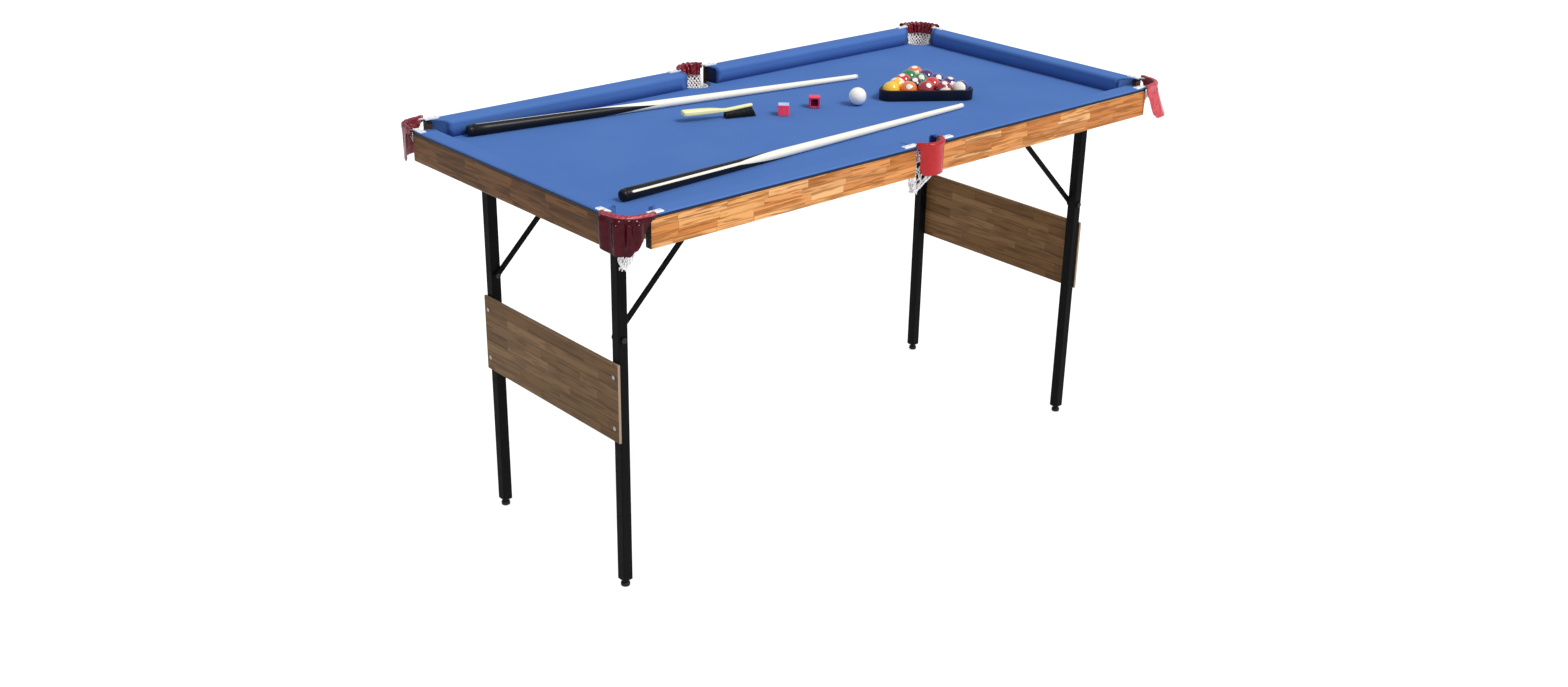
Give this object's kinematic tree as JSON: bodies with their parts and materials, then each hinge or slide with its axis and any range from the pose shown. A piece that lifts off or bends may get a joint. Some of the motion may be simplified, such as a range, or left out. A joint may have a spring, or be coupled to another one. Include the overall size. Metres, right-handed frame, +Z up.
{
  "type": "mini pool table",
  "caption": "Folding mini pool table with cloth-wrapped rails, net pockets, braced folding leg frames and a laid-out playing set.",
  "frame": {"origin": "on the floor, under the middle of the table", "axes": "+X along the table's length, +Y across it, +Z up"},
  "size_m": [1.385, 0.7366, 0.7688],
  "materials": {
    "stave_wood": "butcher-block stave pattern, satin lacquer",
    "rail_cloth": "wool-nylon cloth, fine nap",
    "bed_cloth": "wool-nylon cloth, fine nap",
    "fibreboard": "raw fibreboard",
    "cushion_rubber": "moulded rubber",
    "trim_black": "satin extruded edge strip",
    "pocket_leather": "glossy red leatherette",
    "net_cord": "white knotted cord",
    "bright_iron": "bright plated",
    "black_paint": "black powder coat",
    "bright_steel": "zinc plated",
    "foot_plastic": "black moulded plastic",
    "ball_gloss": "polished resin",
    "rack_plastic": "satin black plastic",
    "cue_wood": "lacquered, black painted butt",
    "brush_wood": "pale varnished wood",
    "brush_bristle": "black nylon filament",
    "chalk": "pressed chalk in red paper sides"
  },
  "bodies": {
    "table": {"apron_front_left": "stave_wood", "apron_front_right": "stave_wood", "apron_rear_left": "stave_wood", "apron_rear_right": "stave_wood", "apron_left_end": "stave_wood", "apron_right_end": "stave_wood", "trim_strips": "trim_black", "rail_cloth_front_left": "rail_cloth", "rail_cloth_front_right": "rail_cloth", "rail_cloth_rear_left": "rail_cloth", "rail_cloth_rear_right": "rail_cloth", "rail_cloth_left_end": "rail_cloth", "rail_cloth_right_end": "rail_cloth", "rail_cores": "fibreboard", "cushion_rubbers": "cushion_rubber", "bed_board": "fibreboard", "bed_cloth": "bed_cloth", "bed_batten": "fibreboard", "corner_blocks": "fibreboard", "pocket_leather_front_left": "pocket_leather", "pocket_leather_front_right": "pocket_leather", "pocket_leather_front_middle": "pocket_leather", "pocket_leather_rear_left": "pocket_leather", "pocket_leather_rear_right": "pocket_leather", "pocket_leather_rear_middle": "pocket_leather", "pocket_irons": "bright_iron", "pocket_nets": "net_cord", "pocket_tacks": "bright_iron", "saddle_brackets": "black_paint", "keeper_brackets": "black_paint", "bracket_screws": "bright_steel"},
    "leg_frame_left": {"leg_left_front": "black_paint", "leg_left_rear": "black_paint", "cross_tube_left": "black_paint", "end_panel_left": "stave_wood", "frame_fasteners_left": "bright_steel", "leg_plugs_left": "foot_plastic"},
    "brace_left_front": {"brace_left_front": "black_paint"},
    "foot_left_front": {"foot_left_front": "foot_plastic"},
    "brace_left_rear": {"brace_left_rear": "black_paint"},
    "foot_left_rear": {"foot_left_rear": "foot_plastic"},
    "leg_frame_right": {"leg_right_front": "black_paint", "leg_right_rear": "black_paint", "cross_tube_right": "black_paint", "end_panel_right": "stave_wood", "frame_fasteners_right": "bright_steel", "leg_plugs_right": "foot_plastic"},
    "brace_right_front": {"brace_right_front": "black_paint"},
    "foot_right_front": {"foot_right_front": "foot_plastic"},
    "brace_right_rear": {"brace_right_rear": "black_paint"},
    "foot_right_rear": {"foot_right_rear": "foot_plastic"},
    "cue_front_body": {"cue_front": "cue_wood"},
    "cue_rear_body": {"cue_rear": "cue_wood"},
    "cue_ball_body": {"cue_ball": "ball_gloss"},
    "racked_balls": {"object_balls": "ball_gloss"},
    "rack_body": {"triangle_rack": "rack_plastic"},
    "brush": {"brush_handle": "brush_wood", "brush_bristles": "brush_bristle"},
    "chalk": {"chalk_cubes": "chalk"}
  },
  "joints": [
    {"name": "leg_fold_left", "type": "hinge", "parent": "table", "child": "leg_frame_left", "pos_m": [-0.591, 0, 0.705], "axis": [0, -1, 0], "range_deg": [0, 90]},
    {"name": "brace_turn_left_front", "type": "hinge", "parent": "leg_frame_left", "child": "brace_left_front", "pos_m": [-0.591, -0.1856, 0.49], "axis": [0, 1, 0], "range_deg": [0, 135.02]},
    {"name": "foot_level_left_front", "type": "slide", "parent": "leg_frame_left", "child": "foot_left_front", "axis": [0, 0, -1], "range_m": [0, 0.01]},
    {"name": "brace_turn_left_rear", "type": "hinge", "parent": "leg_frame_left", "child": "brace_left_rear", "pos_m": [-0.591, 0.1856, 0.49], "axis": [0, 1, 0], "range_deg": [0, 135.02]},
    {"name": "foot_level_left_rear", "type": "slide", "parent": "leg_frame_left", "child": "foot_left_rear", "axis": [0, 0, -1], "range_m": [0, 0.01]},
    {"name": "leg_fold_right", "type": "hinge", "parent": "table", "child": "leg_frame_right", "pos_m": [0.591, 0, 0.705], "axis": [0, 1, 0], "range_deg": [0, 90]},
    {"name": "brace_turn_right_front", "type": "hinge", "parent": "leg_frame_right", "child": "brace_right_front", "pos_m": [0.591, -0.2116, 0.49], "axis": [0, -1, 0], "range_deg": [0, 135.02]},
    {"name": "foot_level_right_front", "type": "slide", "parent": "leg_frame_right", "child": "foot_right_front", "axis": [0, 0, -1], "range_m": [0, 0.01]},
    {"name": "brace_turn_right_rear", "type": "hinge", "parent": "leg_frame_right", "child": "brace_right_rear", "pos_m": [0.591, 0.2116, 0.49], "axis": [0, -1, 0], "range_deg": [0, 135.02]},
    {"name": "foot_level_right_rear", "type": "slide", "parent": "leg_frame_right", "child": "foot_right_rear", "axis": [0, 0, -1], "range_m": [0, 0.01]},
    {"name": "lift_cue_front", "type": "slide", "parent": "table", "child": "cue_front_body", "axis": [0, 0, 1], "range_m": [0, 0.12]},
    {"name": "lift_cue_rear", "type": "slide", "parent": "table", "child": "cue_rear_body", "axis": [0, 0, 1], "range_m": [0, 0.12]},
    {"name": "lift_cue_ball", "type": "slide", "parent": "table", "child": "cue_ball_body", "axis": [0, 0, 1], "range_m": [0, 0.12]},
    {"name": "lift_racked_balls", "type": "slide", "parent": "table", "child": "racked_balls", "axis": [0, 0, 1], "range_m": [0, 0.12]},
    {"name": "lift_rack", "type": "slide", "parent": "table", "child": "rack_body", "axis": [0, 0, 1], "range_m": [0, 0.12]},
    {"name": "lift_brush", "type": "slide", "parent": "table", "child": "brush", "axis": [0, 0, 1], "range_m": [0, 0.12]},
    {"name": "lift_chalk", "type": "slide", "parent": "table", "child": "chalk", "axis": [0, 0, 1], "range_m": [0, 0.12]}
  ],
  "couplings": [
    {"joint": "brace_turn_left_front", "follows": "leg_fold_left", "ratio": 1.4946},
    {"joint": "brace_turn_left_rear", "follows": "leg_fold_left", "ratio": 1.4946},
    {"joint": "brace_turn_right_front", "follows": "leg_fold_right", "ratio": 1.4946},
    {"joint": "brace_turn_right_rear", "follows": "leg_fold_right", "ratio": 1.4946}
  ]
}
